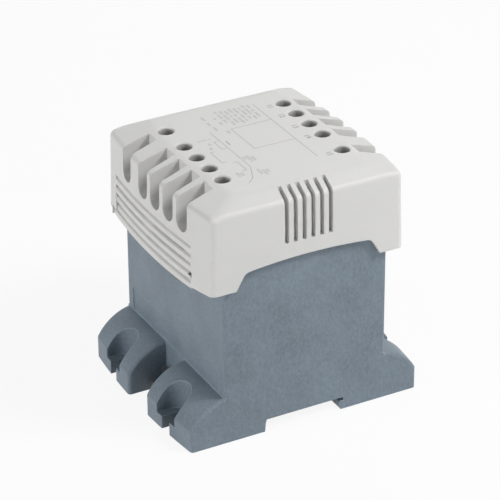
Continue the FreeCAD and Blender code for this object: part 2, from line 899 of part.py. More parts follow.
def make_core_i():
    """The stack of I laminations that closes the windows from above."""
    stack = box(-core_half_x, core_half_x, -core_half_y, core_half_y, window_top, core_top)
    for hole in core_holes(high_hole_z):
        stack = stack.cut(hole)
    return only_solid(stack)


tube_in_x = core_half_x + fit_clearance
tube_in_y = core_leg / 2 + fit_clearance
tube_out_x = tube_in_x + former_wall
tube_out_y = tube_in_y + former_wall
former_bottom = window_bottom + fit_clearance
former_top = window_top - fit_clearance
former_middle = (former_bottom + former_top) / 2
flange_out_y = core_leg / 2 + core_window - fit_clearance
flange_out_x = core_half_x + former_reach


def ring(in_x, in_y, in_r, out_x, out_y, out_r, z0, z1):
    """A rectangular ring with rounded corners, round the centre leg."""
    outer = upward([(-out_x, -out_y, out_r), (out_x, -out_y, out_r),
                    (out_x, out_y, out_r), (-out_x, out_y, out_r)], z0, z1)
    inner = upward([(-in_x, -in_y, in_r), (in_x, -in_y, in_r),
                    (in_x, in_y, in_r), (-in_x, in_y, in_r)], z0 - 1.0, z1 + 1.0)
    return only_solid(outer.cut(inner))


def make_former():
    """The moulded coil former: a tube with three flanges, so two chambers."""
    former = ring(tube_in_x, tube_in_y, 0, tube_out_x, tube_out_y, former_wall,
                  former_bottom, former_top)
    half = former_flange / 2
    for z0 in (former_bottom, former_middle - half, former_top - former_flange):
        flange = ring(tube_in_x, tube_in_y, 0, flange_out_x, flange_out_y, coil_corner_r,
                      z0, z0 + former_flange)
        former = former.fuse(flange)
    return only_solid(former.removeSplitter())


def chamber_span(upper):
    half = former_flange / 2
    if upper:
        return former_middle + half, former_top - former_flange
    return former_bottom + former_flange, former_middle - half


def make_winding(upper):
    z0, z1 = chamber_span(upper)
    gap = shaft_clearance
    return ring(tube_out_x + gap, tube_out_y + gap, former_wall,
                tube_out_x + winding_build, tube_out_y + winding_build, coil_corner_r + 2.0,
                z0 + gap, z1 - gap)


def make_wrap(upper):
    z0, z1 = chamber_span(upper)
    gap = shaft_clearance
    start = winding_build + gap
    end = start + wrap_thickness
    return ring(tube_out_x + start, tube_out_y + start, coil_corner_r + 2.0 + gap,
                tube_out_x + end, tube_out_y + end, coil_corner_r + 2.0 + gap + wrap_thickness,
                z0 + gap, z1 - gap)


bracket_screw_x = core_half_x + bracket_screw_offset


def make_bracket():
    """A bent steel angle under the core's lower bolts, screwed to the floor."""
    bend = bracket_thickness
    corners = [
        (-core_half_x, core_bottom, bend + 0.5),
        (-core_half_x - bracket_reach, core_bottom, 0),
        (-core_half_x - bracket_reach, core_bottom + bend, 0),
        (-core_half_x - bend, core_bottom + bend, 0.5),
        (-core_half_x - bend, core_bottom + bracket_height, 0),
        (-core_half_x, core_bottom + bracket_height, 0),
    ]
    angle = along_y(corners, -core_half_y + 1.5, core_half_y - 1.5)
    for side in (-1, 1):
        y0 = side * bracket_half_y
        y1 = side * core_half_y
        angle = angle.cut(box(-core_half_x - bracket_reach - 1.0, -core_half_x - bend - 0.5,
                              min(y0, y1), max(y0, y1), core_bottom - 1.0, core_top))
        angle = angle.cut(cylinder_x(-core_half_x - over, -core_half_x + over,
                                     side * hole_y, low_hole_z, core_hole_r))
        angle = angle.cut(cylinder_z(-bracket_screw_x, side * bracket_screw_y,
                                     core_bottom - 1.0, core_top, screw_r + 0.2))
    return only_solid(angle)


def bolt_places():
    """Each core bolt's y and z, what lies under its head, and what under its nut."""
    both = bracket_thickness
    return [
        (-hole_y, low_hole_z, both, both),
        (hole_y, low_hole_z, both, both),
        (-hole_y, high_hole_z, 0, 0),
        (hole_y, high_hole_z, ring_thickness, 0),
    ]


def make_core_bolts():
    bolts = []
    for y, z, under_head, under_nut in bolt_places():
        head_face = -core_half_x - under_head - washer_thickness
        shank = cylinder_x(head_face, head_face + bolt_length, y, z, bolt_r)
        head = hexagon_x(head_face - bolt_head_height, head_face, y, z, bolt_head_flats)
        bolts.append(only_solid(shank.fuse(head)))
    return bolts


def make_core_nuts():
    nuts = []
    for y, z, under_head, under_nut in bolt_places():
        face = core_half_x + under_nut + washer_thickness
        nut = hexagon_x(face, face + nut_height, y, z, bolt_head_flats)
        nuts.append(nut.cut(cylinder_x(face - 1.0, face + nut_height + 1.0, y, z,
                                       bolt_r + shaft_clearance)))
    return [only_solid(nut) for nut in nuts]


def make_core_washers():
    washers = []
    for y, z, under_head, under_nut in bolt_places():
        for face in (-core_half_x - under_head - washer_thickness, core_half_x + under_nut):
            disc = cylinder_x(face, face + washer_thickness, y, z, washer_r)
            disc = disc.cut(cylinder_x(face - 1.0, face + 2.0, y, z, bolt_r + shaft_clearance))
            washers.append(only_solid(disc))
    return washers


def slotted_screw(x, y, seat_z, depth):
    """A pan-head screw with a straight slot, pointing down."""
    shank = cylinder_z(x, y, seat_z - depth, seat_z, screw_r)
    head = cylinder_z(x, y, seat_z, seat_z + screw_head_height, screw_head_r)
    slot = box(x - screw_head_r, x + screw_head_r,
               y - screw_slot_width / 2, y + screw_slot_width / 2,
               seat_z + screw_head_height - screw_slot_depth, seat_z + screw_head_height + 1.0)
    return only_solid(shank.fuse(head).cut(slot))


def make_bracket_screws():
    seat = floor_top + bracket_thickness
    depth = bracket_screw_depth + bracket_thickness - 0.5
    return four_ways(slotted_screw(-bracket_screw_x, -bracket_screw_y, seat, depth))


# Terminals

carrier_front_x = -entry_end_x + entry_wall + carrier_face_gap
plate_bottom = body_top
plate_top = body_top + carrier_plate


def make_carrier():
    """The moulded terminal carrier of the -X side: a plate with five chambers."""
    plate = box(-body_half_x + slide_clearance, -carrier_inner_x,
                -carrier_half_y, carrier_half_y, plate_bottom, plate_top)
    block = box(carrier_front_x, -carrier_inner_x, -carrier_block_end, carrier_block_end,
                plate_top, carrier_block_top)
    carrier = plate.fuse(block)
    for side in (-1, 1):
        carrier = carrier.cut(cylinder_z(-post_x, side * post_y, plate_bottom - 1.0,
                                         plate_top + 1.0, screw_r + 0.2))
    for y in terminal_ys:
        carrier = carrier.cut(box(-terminal_x - chamber_half, -terminal_x + chamber_half,
                                  y - chamber_half, y + chamber_half,
                                  cage_bottom, carrier_block_top + 1.0))
        carrier = carrier.cut(wire_window(y, carrier_front_x - 1.0))
        carrier = carrier.cut(box(-terminal_x, -carrier_inner_x + 1.0,
                                  y - tag_half_y - 0.1, y + tag_half_y + 0.1,
                                  cage_hole_bottom - 0.1, cage_hole_bottom + tag_thickness + 0.1))
    return only_solid(carrier)


def make_carrier_screws():
    return four_ways(slotted_screw(-post_x, -post_y, plate_top, carrier_screw_depth))


def make_cages():
    """The clamp cages of the -X side, each open along X for the wire."""
    cages = []
    for y in terminal_ys:
        cage = box(-terminal_x - cage_half_x, -terminal_x + cage_half_x,
                   y - cage_half_y, y + cage_half_y, cage_bottom, cage_top)
        cage = cage.cut(box(-terminal_x - over, -terminal_x + over,
                            y - cage_hole_half, y + cage_hole_half,
                            cage_hole_bottom, cage_hole_bottom + cage_hole_height))
        cage = cage.cut(cylinder_z(-terminal_x, y, cage_hole_bottom + 1.0, cage_top + 1.0,
                                   clamp_screw_r + shaft_clearance))
        cages.append(only_solid(cage))
    return cages


def make_clamp_screws():
    screws = []
    for y in terminal_ys:
        shank = cylinder_z(-terminal_x, y, clamp_screw_tip, clamp_head_bottom, clamp_screw_r)
        head = cylinder_z(-terminal_x, y, clamp_head_bottom,
                          clamp_head_bottom + clamp_head_height, clamp_head_r)
        slot = box(-terminal_x - clamp_head_r, -terminal_x + clamp_head_r,
                   y - screw_slot_width / 2, y + screw_slot_width / 2,
                   clamp_head_bottom + clamp_head_height - screw_slot_depth,
                   clamp_head_bottom + clamp_head_height + 1.0)
        screws.append(only_solid(shank.fuse(head).cut(slot)))
    return screws


def make_tags():
    """The solder tags of the -X side, from each cage to its lead."""
    outer_x = -terminal_x - cage_half_x + 0.7
    return [box(outer_x, -tag_end_x, y - tag_half_y, y + tag_half_y,
                cage_hole_bottom, cage_hole_bottom + tag_thickness) for y in terminal_ys]


def coil_lead(y):
    """An insulated lead from the coil former's top flange up to a tag."""
    top = cage_hole_bottom
    return tube([
        V(-lead_foot_x, y, former_top),
        V(-lead_foot_x, y, core_top - 2.0),
        V(-lead_top_x, y, core_top + 6.0),
        V(-lead_top_x, y, top),
    ], lead_r)


ring_x = -core_half_x - ring_thickness
barrel_bottom = high_hole_z + bolt_head_flats / math.sqrt(3) + fit_clearance
barrel_top = barrel_bottom + ring_barrel_length


def make_earth_lead():
    """The lead from the earth terminal's tag to the ring under a core bolt."""
    top = cage_hole_bottom
    barrel_x = ring_x - ring_barrel_r + ring_thickness
    return tube([
        V(-lead_top_x, terminal_first_y, top),
        V(-lead_top_x, terminal_first_y, top - 4.5),
        V(barrel_x, hole_y, barrel_top + 4.0),
        V(barrel_x, hole_y, barrel_top),
    ], lead_r)


def make_earth_ring():
    """The crimped ring that earths the core."""
    eye = cylinder_x(ring_x, ring_x + ring_thickness, hole_y, high_hole_z, ring_r)
    neck = box(ring_x, ring_x + ring_thickness, hole_y - ring_barrel_r, hole_y + ring_barrel_r,
               high_hole_z, barrel_top)
    barrel = cylinder_z(ring_x - ring_barrel_r + ring_thickness, hole_y,
                        barrel_bottom, barrel_top, ring_barrel_r)
    lug = eye.fuse([neck, barrel])
    return only_solid(lug.cut(cylinder_x(ring_x - over, ring_x + over, hole_y, high_hole_z,
                                         bolt_r + shaft_clearance)))


# Rail latch

def make_latch():
    """The steel rail latch: nose under the rail's edge, tail lug for a screwdriver."""
    nose_top = recess_height - rail_lip - 0.24
    tip = recess_left + latch_nose
    shoulder = recess_left - fit_clearance
    plate = along_y([
        (-latch_tail_x, latch_bottom, 0.4),
        (shoulder, latch_bottom, 0),
        (tip, nose_top - 1.1, 0.3),
        (tip, nose_top, 0.3),
        (shoulder, nose_top, 0),
        (shoulder, latch_top, 0),
        (-latch_tail_x, latch_top, 0),
    ], -latch_half_y, latch_half_y)
    half = latch_tail_half_y
    lip = box(-latch_tail_x, -latch_tail_x + latch_lip, -half, half, latch_bottom + 1.0,
              latch_lip_top)
    lug = box(-latch_lug_x, -latch_lug_x + latch_lug, -half, half, latch_bottom + 1.0,
              latch_lug_top)
    lug = lug.cut(box(-latch_lug_x - 1.0, -latch_lug_x + latch_lug + 1.0,
                      -driver_slot_half_y, driver_slot_half_y,
                      driver_slot_bottom, driver_slot_top))
    latch = plate.fuse([lip, lug])
    latch = latch.cut(box(-latch_window_x, -latch_window_end,
                          -latch_window_half_y, latch_window_half_y,
                          latch_bottom - 1.0, latch_top + 1.0))
    return only_solid(latch)


def make_latch_spring():
    """The compression spring between the housing's stop and the latch's window."""
    start = -latch_window_x + stop_length + spring_wire_r + 2 * shaft_clearance
    end = -latch_window_end - spring_wire_r - shaft_clearance
    axis_z = (latch_bottom + latch_top) / 2
    steps = spring_turns * spring_turn_steps
    sections = []
    for step in range(steps + 1):
        turn = 2 * math.pi * step / spring_turn_steps
        x = start + (end - start) * step / steps
        outward = V(0, math.cos(turn), math.sin(turn))
        middle = V(x, 0, axis_z) + outward * spring_mean_r
        points = []
        for corner in range(spring_wire_sides):
            angle = 2 * math.pi * corner / spring_wire_sides
            points.append(middle + outward * (spring_wire_r * math.cos(angle))
                          + V(spring_wire_r * math.sin(angle), 0, 0))
        sections.append(Part.makePolygon(points + points[:1]))
    return Part.makeLoft(sections, True, True)


# Every node

save("housing_body", [make_housing()])
save("cover", [make_cover()])
save("core_e_stack", [make_core_e()])
save("core_i_stack", [make_core_i()])
save("coil_former", [make_former()])
save("primary_winding", [make_winding(False)])
save("secondary_winding", [make_winding(True)])
save("primary_wrap", [make_wrap(False)])
save("secondary_wrap", [make_wrap(True)])
save("core_bracket_left", [make_bracket()])
save("core_bracket_right", [mirrored_x(make_bracket())])
save("core_bolts", make_core_bolts())
save("core_nuts", make_core_nuts())
save("core_washers", make_core_washers())
save("bracket_screws", make_bracket_screws())
save("terminal_carrier_left", [make_carrier()])
save("terminal_carrier_right", [half_turn(make_carrier())])
save("carrier_screws", make_carrier_screws())
save("terminal_cages_left", make_cages())
save("terminal_cages_right", [half_turn(cage) for cage in make_cages()])
save("terminal_screws_left", make_clamp_screws())
save("terminal_screws_right", [half_turn(screw) for screw in make_clamp_screws()])
save("terminal_tags_left", make_tags())
save("terminal_tags_right", [half_turn(tag) for tag in make_tags()])
save("secondary_leads", [coil_lead(y) for y in terminal_ys[1:]])
save("primary_leads", [half_turn(coil_lead(y)) for y in terminal_ys])
save("earth_lead", [make_earth_lead()])
save("earth_ring", [make_earth_ring()])
save("rail_latch", [make_latch()])
save("latch_spring", [make_latch_spring()])
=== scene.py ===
import math

import bmesh
import bpy
from mathutils import Matrix, Vector


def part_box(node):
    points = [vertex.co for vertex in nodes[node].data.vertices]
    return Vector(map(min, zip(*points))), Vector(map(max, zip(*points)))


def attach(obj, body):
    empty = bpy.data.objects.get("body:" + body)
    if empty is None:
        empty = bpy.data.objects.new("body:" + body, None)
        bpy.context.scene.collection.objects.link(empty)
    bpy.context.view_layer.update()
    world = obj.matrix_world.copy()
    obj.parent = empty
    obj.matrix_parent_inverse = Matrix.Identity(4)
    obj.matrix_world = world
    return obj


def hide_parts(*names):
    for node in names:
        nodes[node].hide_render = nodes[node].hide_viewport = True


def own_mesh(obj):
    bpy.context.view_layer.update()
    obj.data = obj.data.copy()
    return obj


MM = 0.001
X_AXIS = 0
Y_AXIS = 1

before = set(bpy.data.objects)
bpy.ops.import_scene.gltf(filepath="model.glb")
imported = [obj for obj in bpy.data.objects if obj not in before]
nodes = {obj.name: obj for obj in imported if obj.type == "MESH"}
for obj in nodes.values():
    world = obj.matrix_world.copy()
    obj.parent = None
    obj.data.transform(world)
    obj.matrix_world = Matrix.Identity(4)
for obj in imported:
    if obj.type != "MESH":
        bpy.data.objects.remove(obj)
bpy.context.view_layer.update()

# Camera, in front and to the left, looking down
view_yaw = math.radians(-28.16)
view_pitch = math.radians(28.82)
view_roll = math.radians(-0.38)
view_side = -1.97 * MM
view_up = 50.88 * MM
view_distance = 1120.85 * MM
sensor_width = 36.0
lens = 191.65
far_clip = 20.0

# Light. Each lamp: azimuth from +X, elevation, distance, size, share of a full white sky
sky_level = 0.1
white_level = 1.0
sky_colour = (1.0, 1.0, 1.0)
lamps = {
    "high_key": (-45.0, 49.0, 1.1, 0.3, 0.64),
    "high_left": (180.0, 62.0, 1.1, 0.3, 0.07),
    "high_back": (60.0, 45.0, 1.1, 0.3, 0.14),
    "low_front": (-90.0, 6.0, 3.2, 1.06, 0.19),
    "low_left": (180.0, 6.0, 3.2, 1.06, 0.56),
    "low_right": (0.0, 6.0, 3.2, 1.06, 0.10),
    "low_back": (90.0, 6.0, 3.2, 1.06, 0.32),
}
# A lamp lower than this gives no gloss, so that it doesn't glare on the flat top
lowest_gloss = 20.0
floor_half = 3.0
floor_colour = (0.9, 0.9, 0.9)
floor_roughness = 0.9
floor_glow = 0.9

# Colours, as linear values
cover_grey = (0.668, 0.664, 0.652)
body_blue_grey = (0.166, 0.208, 0.248)
former_black = (0.032, 0.033, 0.036)
carrier_grey = (0.30, 0.30, 0.29)
core_steel = (0.22, 0.22, 0.23)
varnish_tint = (0.16, 0.12, 0.08)
zinc = (0.62, 0.63, 0.64)
latch_steel = (0.44, 0.44, 0.45)
spring_steel = (0.34, 0.34, 0.36)
copper_wire = (0.62, 0.27, 0.13)
tape_yellow = (0.62, 0.47, 0.12)
tinned_brass = (0.66, 0.61, 0.50)
lead_blue = (0.05, 0.10, 0.34)
lead_brown = (0.16, 0.07, 0.035)
earth_green = (0.06, 0.26, 0.07)
earth_yellow = (0.75, 0.62, 0.06)
ink_grey = (0.33, 0.33, 0.335)

# A noise is its features per metre, its detail and its roughness. A span is where in a value's
# range a share goes from one end to the other: up from none to full, or down again.
up = (0.0, 1.0)
down = (1.0, 0.0)
noise_span = (0.3, 0.7)

# Moulded plastic: flow clouds, fibres along Z, fine eroded grain, painted highlight and rubbed
# wear on edges.
# Each shade is a share of the colour's own brightness.
moulded_roughness = 0.5
roughness_swing = 0.06
flow_noise = (60.0, 4.0, 0.55)
fibre_stretch = (1.0, 1.0, 0.65)
fibre_noise = (1000.0, 4.0, 0.6)
fibre_gain = 2.2
dark_fibre_span = (0.32, 0.5)
dark_fibre_shade = 0.5
light_fibre_span = (0.5, 0.68)
light_fibre_shade = 1.6
grain_noise = (2200.0, 2.0, 0.7)
speck_span = (0.5, 0.72)
speck_shade = 1.9
edge_samples = 4
edge_span = (1.0, 0.86)
edge_highlight_and_wear_shade = 2.2
rounding_samples = 6
moulded_bump = 0.6
fibre_depth = 3.0

# Painted shade down the narrow holes of the terminal rows, and none in the vents along the middle
hole_reach = 8.0 * MM
hole_samples = 8
hole_span = (0.14, 0.40)
middle_edge = (18.0 * MM, 20.0 * MM)
painted_hole_darkness = 0.08

# Plated metal
brush_stretch = 0.05
brush_noise = (2600.0, 2.0, 0.55)
tarnish_noise = (240.0, 4.0, 0.55)
tarnish_span = (0.35, 0.7)
tarnish_shade = 0.88
smoother_by = 0.08
rougher_by = 0.1
brush_bump = 0.3
brush_depth = 0.008 * MM

# Core sheets: a dark joint between neighbours and pools of varnish
sheet_thickness = 0.5 * MM
sheet_roughness = 0.45
sheet_metallic = 0.6
joint_span = (0.0, 0.22)
joint_share = 0.75
joint_shade = 0.25
joint_bump = 0.6
joint_depth = 0.08 * MM
varnish_noise = (160.0, 4.0, 0.55)
varnish_span = (0.4, 0.7)

# Winding wire, with painted shade in the grooves between turns
primary_pitch = 0.45 * MM
secondary_pitch = 1.1 * MM
enamel_roughness = 0.3
enamel_metallic = 0.85
wander_noise = (60.0, 2.0, 0.55)
wander = 0.1 * MM
groove_span = (-1.0, 0.2)
painted_groove_shade = 0.3
groove_bump = 0.9
groove_depth = 0.2 * MM

# Tape round the windings
tape_roughness = 0.28
crease_noise = (220.0, 5.0, 0.6)
crease_span = (0.35, 0.7)
crease_shade = 0.72
crease_bump = 0.5
crease_depth = 0.15 * MM

# Insulation of the leads, with the earth lead's stripe
skin_roughness = 0.4
skin_noise = (900.0, 2.0, 0.55)
skin_dark = 0.9
skin_light = 1.1
skin_bump = 0.2
skin_depth = 0.02 * MM
stripe_pitch = 6.0 * MM
stripe_span = (-0.1, 0.1)

# Ink
ink_roughness = 0.55
ink_noise = (1500.0, 3.0, 0.55)
ink_wear_span = (0.45, 0.75)
ink_wear = (0.0, 0.5)

# Widest angle between faces that still look like one round face
cad_smooth_angle = math.radians(28.0)
spring_smooth_angle = math.radians(40.0)

# Latch spring, in millimetres: it closes up as the latch is pulled
spring_start = -32.18
spring_end = -24.27
spring_height = 3.45
spring_mean = 1.2
spring_wire = 0.22
spring_turns = 5
spring_steps = 32
spring_sides = 12

# Print on the top: lines, with their places in millimetres
print_lift = 0.02 * MM
line_width = 0.26 * MM
bold_width = 0.52 * MM
separator = [(15.4, 29.0), (15.4, -25.0)]
open_frame = [(15.4, 13.1), (-3.2, 13.1), (-3.2, -7.0), (15.4, -7.0)]
bent_rule = [(-12.2, 14.3), (-12.2, -20.2), (-16.0, -29.2), (-19.3, -32.2)]
short_rule = [(-20.8, 9.0), (-14.8, 9.2)]
bold_dash = [(-10.2, 4.1), (-10.2, 0.8)]
# Each winding symbol: its back, its two ends, and how far its open side reaches
windings = [(-14.8, -1.2, 5.9, -2.2), (-20.4, -12.0, -1.9, -2.0), (-14.8, -21.8, -13.8, 2.0)]

# Print on the top: terminal numbers
first_number = 11
number_x = 20.6
number_ys = (24.0, 14.0, 2.8, -7.8, -25.2)
digit_height = 3.4 * MM
digit_weight = 0.07 * MM

# Print on the top: groups of short ticks, in millimetres. Their lengths vary by a fixed rhythm
tick_pitch = 0.95
tick_reach = 0.55
short_tick = 0.7
tick_stride = 5
tick_rhythm = 3
tick_width = 0.34 * MM
row_count = 8
first_row_x = -1.9
row_pitch = 2.1
rows_far_y = 30.0
rows_near_y = 14.2
row_indent = 0.7
indent_rhythm = 3
shortest_group = 2
group_stride = 3
group_rhythm = 5
# Each group beside the rows: its middle, its first tick, its number of ticks
side_groups = [(-9.0, 28.0, 4), (-9.2, 22.0, 3), (-8.8, 17.6, 4), (-4.6, 25.0, 2),
               (-4.4, 20.5, 3), (-5.4, 12.0, 3), (-10.8, -11.6, 3), (-9.2, -11.4, 6),
               (-7.6, -13.0, 4), (-10.9, -23.6, 5), (-9.3, -25.0, 5), (-7.7, -25.4, 3),
               (-19.6, -22.6, 4), (-18.0, -23.6, 3), (-17.2, 5.2, 2), (-18.6, 1.4, 2)]


def tree_node(tree, kind, settings=None, **inputs):
    """Add a shader node, setting its fields and linking or filling its inputs."""
    made = tree.nodes.new(kind)
    for key, value in (settings or {}).items():
        setattr(made, key, value)
    for key, value in inputs.items():
        socket = made.inputs[int(key[1:])] if key[0] == "_" else made.inputs[key.replace("_", " ")]
        if isinstance(value, bpy.types.NodeSocket):
            tree.links.new(value, socket)
        else:
            socket.default_value = value
    return made


def start_material(name, roughness, metallic=0.0):
    """A material with its tree, its shader and the object's own coordinates."""
    material = bpy.data.materials.new(name)
    material.use_nodes = True
    tree = material.node_tree
    shader = tree.nodes["Principled BSDF"]
    shader.inputs["Metallic"].default_value = metallic
    shader.inputs["Roughness"].default_value = roughness
    coordinates = tree_node(tree, "ShaderNodeTexCoord").outputs["Object"]
    return material, tree, shader, coordinates


def noise(tree, coordinates, kind):
    scale, detail, roughness = kind
    made = tree_node(tree, "ShaderNodeTexNoise", Vector=coordinates, Scale=scale,
                     Detail=detail, Roughness=roughness)
    return made.outputs["Fac"]


def remap(tree, value, span, share):
    """Take a value over a span of its range to a share, and hold it beyond."""
    made = tree_node(tree, "ShaderNodeMapRange", Value=value, From_Min=span[0], From_Max=span[1],
                     To_Min=share[0], To_Max=share[1])
    return made.outputs["Result"]


def calculate(tree, operation, *values):
    """A Math node's result."""
    inputs = {"_" + str(place): value for place, value in enumerate(values)}
    return tree_node(tree, "ShaderNodeMath", {"operation": operation}, **inputs).outputs[0]


def multiply(tree, a, b):
    return calculate(tree, "MULTIPLY", a, b)


def along(tree, coordinates, axis):
    """One of the coordinates, by its letter."""
    return tree_node(tree, "ShaderNodeSeparateXYZ", Vector=coordinates).outputs[axis]


def tinted(tree, factor, colour, other):
    """Mix two colours, or results of other mixes, by a factor."""
    made = tree_node(tree, "ShaderNodeMix", {"data_type": "RGBA"})
    factor_socket, first, second = made.inputs[0], made.inputs[6], made.inputs[7]
    for socket, value in ((first, colour), (second, other)):
        if isinstance(value, bpy.types.NodeSocket):
            tree.links.new(value, socket)
        else:
            socket.default_value = (*value, 1.0)
    tree.links.new(factor, factor_socket)
    return made.outputs[2]


def shade(colour, amount):
    return tuple(min(channel * amount, 1.0) for channel in colour)


def paint(tree, shader, colours):
    tree.links.new(colours, shader.inputs["Base Color"])


def vary_roughness(tree, shader, texture, low, high):
    tree.links.new(remap(tree, texture, noise_span, (low, high)), shader.inputs["Roughness"])


def add_relief(tree, shader, texture, strength, depth, settings=None, **under):
    """Bump the surface by a texture, over another relief where one is given."""
    bump = tree_node(tree, "ShaderNodeBump", settings, Strength=strength, Distance=depth,
                     Height=texture, **under)
    tree.links.new(bump.outputs["Normal"], shader.inputs["Normal"])


def edge_mask(tree, radius):
    """1 near an edge and 0 on flat faces."""
    soft = tree_node(tree, "ShaderNodeBevel", {"samples": edge_samples}, Radius=radius)
    plain = tree_node(tree, "ShaderNodeNewGeometry")
    dot = tree_node(tree, "ShaderNodeVectorMath", {"operation": "DOT_PRODUCT"},
                    _0=soft.outputs["Normal"], _1=plain.outputs["Normal"])
    return remap(tree, dot.outputs["Value"], edge_span, up)


def hole_mask(tree, coordinates):
    """Painted shade: 1 deep in the narrow holes of both terminal rows, 0 on open faces and along
    the middle.
    """
    openness = tree_node(tree, "ShaderNodeAmbientOcclusion", {"samples": hole_samples},
                         Distance=hole_reach)
    deep = remap(tree, openness.outputs["AO"], hole_span, down)
    aside = calculate(tree, "ABSOLUTE", along(tree, coordinates, "X"))
    return multiply(tree, deep, remap(tree, aside, middle_edge, up))


def moulded_plastic(name, colour, mottle, specks, edge_radius, edge_highlight_and_wear, grain, painted_hole_shade=0.0):
    """Moulded thermoplastic: spark-eroded grain, flow mottling, painted highlight and rubbed wear
    on edges.
    """
    material, tree, shader, coordinates = start_material(name, moulded_roughness)
    stretched = tree_node(tree, "ShaderNodeMapping", Vector=coordinates, Scale=fibre_stretch)
    flow = noise(tree, coordinates, flow_noise)
    fibres = noise(tree, stretched.outputs["Vector"], fibre_noise)
    grains = noise(tree, coordinates, grain_noise)
    fibre_share = fibre_gain * mottle
    colours = tinted(tree, remap(tree, flow, noise_span, up),
                     shade(colour, 1.0 - mottle), shade(colour, 1.0 + mottle))
    colours = tinted(tree, remap(tree, fibres, dark_fibre_span, (fibre_share, 0.0)), colours,
                     shade(colour, dark_fibre_shade))
    colours = tinted(tree, remap(tree, fibres, light_fibre_span, (0.0, fibre_share)), colours,
                     shade(colour, light_fibre_shade))
    colours = tinted(tree, remap(tree, grains, speck_span, (0.0, specks)), colours,
                     shade(colour, speck_shade))
    # Lighter edges: painted highlight, and partly rubbed wear
    colours = tinted(tree, multiply(tree, edge_mask(tree, edge_radius), edge_highlight_and_wear), colours,
                     shade(colour, edge_highlight_and_wear_shade))
    # Painted shade: the colour darkens deep in the narrow holes of the terminal rows
    if painted_hole_shade > 0.0:
        colours = tinted(tree, multiply(tree, hole_mask(tree, coordinates), painted_hole_shade), colours,
                         shade(colour, painted_hole_darkness))
    paint(tree, shader, colours)
    vary_roughness(tree, shader, fibres, moulded_roughness - roughness_swing,
                   moulded_roughness + roughness_swing)
    rounded = tree_node(tree, "ShaderNodeBevel", {"samples": rounding_samples},
                        Radius=edge_radius)
    relief = tree_node(tree, "ShaderNodeBump", Strength=moulded_bump,
                       Distance=fibre_depth * grain, Height=fibres,
                       Normal=rounded.outputs["Normal"])
    add_relief(tree, shader, grains, moulded_bump, grain, Normal=relief.outputs["Normal"])
    return material


def plated_metal(name, colour, roughness, brush_axis=None):
    """Sheet or wire metal with a rolled or drawn grain and a little tarnish."""
    material, tree, shader, coordinates = start_material(name, roughness, metallic=1.0)
    stretch = Vector((1.0, 1.0, 1.0))
    if brush_axis is not None:
        stretch[brush_axis] = brush_stretch
    stretched = tree_node(tree, "ShaderNodeMapping", Vector=coordinates, Scale=stretch)
    streaks = noise(tree, stretched.outputs["Vector"], brush_noise)
    tarnish = remap(tree, noise(tree, coordinates, tarnish_noise), tarnish_span, up)
    paint(tree, shader, tinted(tree, tarnish, colour, shade(colour, tarnish_shade)))
    vary_roughness(tree, shader, streaks, roughness - smoother_by, roughness + rougher_by)
    add_relief(tree, shader, streaks, brush_bump, brush_depth)
    return material


def stacked_sheets(name):
    """Electrical steel sheets stacked along X, their cut edges under brown varnish."""
    material, tree, shader, coordinates = start_material(name, sheet_roughness, sheet_metallic)
    layers = multiply(tree, along(tree, coordinates, "X"), 1.0 / sheet_thickness)
    joint = remap(tree, calculate(tree, "FRACT", layers), joint_span, down)
    pools = remap(tree, noise(tree, coordinates, varnish_noise), varnish_span, up)
    steel = tinted(tree, pools, core_steel, varnish_tint)
    paint(tree, shader, tinted(tree, multiply(tree, joint, joint_share), steel,
                               shade(core_steel, joint_shade)))
    add_relief(tree, shader, joint, joint_bump, joint_depth, {"invert": True})
    return material


def wound_wire(name, wire_pitch):
    """Enamelled copper wire laid turn by turn up the coil."""
    material, tree, shader, coordinates = start_material(name, enamel_roughness, enamel_metallic)
    offset = remap(tree, noise(tree, coordinates, wander_noise), up, (-wander, wander))
    height = calculate(tree, "ADD", along(tree, coordinates, "Z"), offset)
    wave = calculate(tree, "SINE", multiply(tree, height, 2 * math.pi / wire_pitch))
    # Painted shade darkens the grooves between turns
    paint(tree, shader, tinted(tree, remap(tree, wave, groove_span, down), copper_wire,
                               shade(copper_wire, painted_groove_shade)))
    add_relief(tree, shader, wave, groove_bump, groove_depth)
    return material


def wrapped_tape(name):
    """Polyester tape over a winding, with soft creases and lapped turns."""
    material, tree, shader, coordinates = start_material(name, tape_roughness)
    creases = noise(tree, coordinates, crease_noise)
    paint(tree, shader, tinted(tree, remap(tree, creases, crease_span, up), tape_yellow,
                               shade(tape_yellow, crease_shade)))
    add_relief(tree, shader, creases, crease_bump, crease_depth)
    return material


def lead_insulation(name, colour, stripe=None):
    """Extruded insulation, satin, with a stripe along an earth lead."""
    material, tree, shader, coordinates = start_material(name, skin_roughness)
    patches = noise(tree, coordinates, skin_noise)
    colours = tinted(tree, remap(tree, patches, noise_span, up), shade(colour, skin_dark),
                     shade(colour, skin_light))
    if stripe is not None:
        twist = multiply(tree, along(tree, coordinates, "Z"), 2 * math.pi / stripe_pitch)
        band = remap(tree, calculate(tree, "SINE", twist), stripe_span, up)
        colours = tinted(tree, band, colours, stripe)
    paint(tree, shader, colours)
    add_relief(tree, shader, patches, skin_bump, skin_depth)
    return material


def pad_ink(name):
    """Pad-printed ink, thin and slightly uneven."""
    material, tree, shader, coordinates = start_material(name, ink_roughness)
    wear = remap(tree, noise(tree, coordinates, ink_noise), ink_wear_span, ink_wear)
    paint(tree, shader, tinted(tree, wear, ink_grey, cover_grey))
    return material


def smooth_normals(piece, angle):
    piece.data.shade_smooth()
    piece.data.set_sharp_from_angle(angle=angle)


def dress(names, material):
    """Give CAD nodes a material and smooth normals on their round faces."""
    for name in names:
        piece = nodes[name]
        piece.data.materials.clear()
        piece.data.materials.append(material)
        smooth_normals(piece, cad_smooth_angle)


